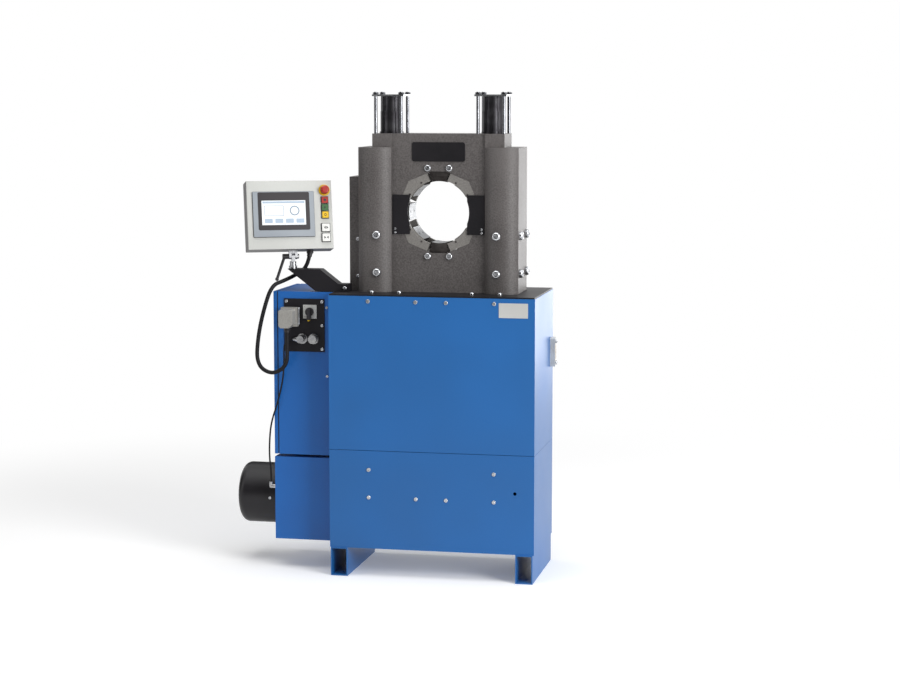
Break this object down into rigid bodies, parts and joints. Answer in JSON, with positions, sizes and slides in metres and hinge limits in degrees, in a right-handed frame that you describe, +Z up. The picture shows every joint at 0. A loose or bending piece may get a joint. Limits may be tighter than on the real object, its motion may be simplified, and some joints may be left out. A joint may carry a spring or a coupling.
{
  "type": "hose crimping machine",
  "caption": "Free-standing hose crimping machine: a press head with eight radial dies on a blue cabinet, with an operator panel, electrical box and pump motor at the left.",
  "frame": {"origin": "on the floor, straight below the centre of the press bore, which is also the middle of the cabinet", "axes": "+X to the operator's right, +Y to the back along the bore axis, +Z up"},
  "size_m": [1.12, 0.4, 1.675],
  "materials": {
    "blue_powder_coat": "fine textured powder coat",
    "grey_structure_paint": "coarse textured paint",
    "black_paint": "satin",
    "bright_zinc": "bright zinc plate",
    "machined_steel": "ground",
    "tool_steel": "blackened",
    "light_grey_paint": "fine textured",
    "black_plastic": "matt",
    "grey_plastic": "satin",
    "display_glass": "glossy",
    "red_plastic": "glossy",
    "green_plastic": "glossy",
    "yellow_plastic": "glossy",
    "white_plastic": "glossy",
    "die_cast_aluminium": "cast, painted",
    "black_rubber": "matt"
  },
  "bodies": {
    "machine": {"cabinet_feet": "blue_powder_coat", "cabinet_shell": "blue_powder_coat", "front_covers": "blue_powder_coat", "cabinet_top_plate": "black_paint", "sheet_metal_screws": "bright_zinc", "head_bolts": "bright_zinc", "blank_plates": "black_paint", "oil_level_gauge": "die_cast_aluminium", "oil_tank": "grey_structure_paint", "electrical_box": "blue_powder_coat", "door_seal": "black_rubber", "electrical_chassis": "light_grey_paint", "socket_plate": "black_paint", "cable_connector": "die_cast_aluminium", "switch_plate": "light_grey_paint", "round_sockets": "bright_zinc", "sensor_plug": "bright_zinc", "pump_housing": "blue_powder_coat", "motor_cowl": "black_paint", "motor_stator": "black_paint", "hydraulic_pump": "die_cast_aluminium", "head_front_plate": "grey_structure_paint", "head_rear_plate": "grey_structure_paint", "head_columns": "grey_structure_paint", "guard_plates": "black_paint", "column_covers": "grey_structure_paint", "side_box": "grey_structure_paint", "upper_cylinders": "tool_steel", "lower_cylinders": "tool_steel", "tie_rod_cages": "bright_zinc", "panel_arm": "black_paint", "panel_post": "bright_zinc", "panel_cord": "black_rubber", "sensor_cord": "black_rubber"},
    "upper_yoke_assembly": {"upper_press_yoke": "tool_steel", "upper_pistons": "machined_steel"},
    "lower_yoke_assembly": {"lower_press_yoke": "tool_steel", "lower_pistons": "machined_steel"},
    "right_die_slide": {"right_slide": "tool_steel"},
    "left_die_slide": {"left_slide": "tool_steel"},
    "upper_right_die_slide": {"upper_right_slide": "machined_steel"},
    "upper_left_die_slide": {"upper_left_slide": "machined_steel"},
    "lower_left_die_slide": {"lower_left_slide": "machined_steel"},
    "lower_right_die_slide": {"lower_right_slide": "machined_steel"},
    "operator_panel": {"panel_enclosure": "light_grey_paint", "hmi_frame": "grey_plastic", "hmi_screen": "display_glass", "button_collars": "grey_plastic", "panel_bracket": "bright_zinc"},
    "tilt_lever": {"clamp_lever": "black_plastic"},
    "stop_mushroom": {"emergency_stop": "red_plastic"},
    "stop_button": {"stop_push_button": "red_plastic"},
    "start_button": {"start_push_button": "green_plastic"},
    "mode_button": {"mode_push_button": "yellow_plastic"},
    "open_button": {"open_push_button": "white_plastic"},
    "close_button": {"close_push_button": "white_plastic"},
    "main_switch": {"main_switch_knob": "black_plastic"},
    "latch": {"connector_latch": "bright_zinc"},
    "cabinet_door": {"box_door": "blue_powder_coat"},
    "motor_rotor": {"motor_shaft": "machined_steel"}
  },
  "joints": [
    {"name": "upper_yoke_stroke", "type": "slide", "parent": "machine", "child": "upper_yoke_assembly", "axis": [0, 0, -1], "range_m": [0, 0.03]},
    {"name": "lower_yoke_stroke", "type": "slide", "parent": "machine", "child": "lower_yoke_assembly", "axis": [0, 0, 1], "range_m": [0, 0.03]},
    {"name": "right_die_stroke", "type": "slide", "parent": "machine", "child": "right_die_slide", "axis": [-1, 0, 0], "range_m": [0, 0.03]},
    {"name": "left_die_stroke", "type": "slide", "parent": "machine", "child": "left_die_slide", "axis": [1, 0, 0], "range_m": [0, 0.03]},
    {"name": "upper_right_die_stroke", "type": "slide", "parent": "machine", "child": "upper_right_die_slide", "axis": [-0.7071, 0, -0.7071], "range_m": [0, 0.03]},
    {"name": "upper_left_die_stroke", "type": "slide", "parent": "machine", "child": "upper_left_die_slide", "axis": [0.7071, 0, -0.7071], "range_m": [0, 0.03]},
    {"name": "lower_left_die_stroke", "type": "slide", "parent": "machine", "child": "lower_left_die_slide", "axis": [0.7071, 0, 0.7071], "range_m": [0, 0.03]},
    {"name": "lower_right_die_stroke", "type": "slide", "parent": "machine", "child": "lower_right_die_slide", "axis": [-0.7071, 0, 0.7071], "range_m": [0, 0.03]},
    {"name": "panel_tilt", "type": "hinge", "parent": "machine", "child": "operator_panel", "pos_m": [-0.518, -0.078, 1.103], "axis": [0.9063, 0.4226, 0], "range_deg": [-15, 25], "deforming": ["panel_cord"]},
    {"name": "clamp_lever_turn", "type": "hinge", "parent": "operator_panel", "child": "tilt_lever", "pos_m": [-0.518, -0.078, 1.103], "axis": [0.9063, 0.4226, 0], "range_deg": [-50, 50]},
    {"name": "emergency_stop_push", "type": "slide", "parent": "operator_panel", "child": "stop_mushroom", "axis": [-0.4134, 0.8865, -0.2079], "range_m": [0, 0.004], "stiffness_N_per_m": 800},
    {"name": "stop_push", "type": "slide", "parent": "operator_panel", "child": "stop_button", "axis": [-0.4134, 0.8865, -0.2079], "range_m": [0, 0.003], "stiffness_N_per_m": 800},
    {"name": "start_push", "type": "slide", "parent": "operator_panel", "child": "start_button", "axis": [-0.4134, 0.8865, -0.2079], "range_m": [0, 0.003], "stiffness_N_per_m": 800},
    {"name": "mode_push", "type": "slide", "parent": "operator_panel", "child": "mode_button", "axis": [-0.4134, 0.8865, -0.2079], "range_m": [0, 0.003], "stiffness_N_per_m": 800},
    {"name": "open_push", "type": "slide", "parent": "operator_panel", "child": "open_button", "axis": [-0.4134, 0.8865, -0.2079], "range_m": [0, 0.003], "stiffness_N_per_m": 800},
    {"name": "close_push", "type": "slide", "parent": "operator_panel", "child": "close_button", "axis": [-0.4134, 0.8865, -0.2079], "range_m": [0, 0.003], "stiffness_N_per_m": 800},
    {"name": "main_switch_turn", "type": "hinge", "parent": "machine", "child": "main_switch", "pos_m": [-0.447, -0.13, 0.914], "axis": [0, 1, 0], "range_deg": [0, 90]},
    {"name": "connector_latch_swing", "type": "hinge", "parent": "machine", "child": "latch", "pos_m": [-0.4825, -0.13, 0.871], "axis": [1, 0, 0], "range_deg": [0, 60]},
    {"name": "box_door_swing", "type": "hinge", "parent": "machine", "child": "cabinet_door", "pos_m": [-0.5845, 0.194, 0.7], "axis": [0, 0, -1], "range_deg": [0, 110]},
    {"name": "motor_rotor_spin", "type": "hinge", "parent": "machine", "child": "motor_rotor", "pos_m": [-0.6, 0.035, 0.24], "axis": [1, 0, 0], "continuous": true}
  ],
  "couplings": [
    {"joint": "lower_yoke_stroke", "follows": "upper_yoke_stroke", "ratio": 1},
    {"joint": "right_die_stroke", "follows": "upper_yoke_stroke", "ratio": 1},
    {"joint": "left_die_stroke", "follows": "upper_yoke_stroke", "ratio": 1},
    {"joint": "upper_right_die_stroke", "follows": "upper_yoke_stroke", "ratio": 1},
    {"joint": "upper_left_die_stroke", "follows": "upper_yoke_stroke", "ratio": 1},
    {"joint": "lower_left_die_stroke", "follows": "upper_yoke_stroke", "ratio": 1},
    {"joint": "lower_right_die_stroke", "follows": "upper_yoke_stroke", "ratio": 1}
  ]
}
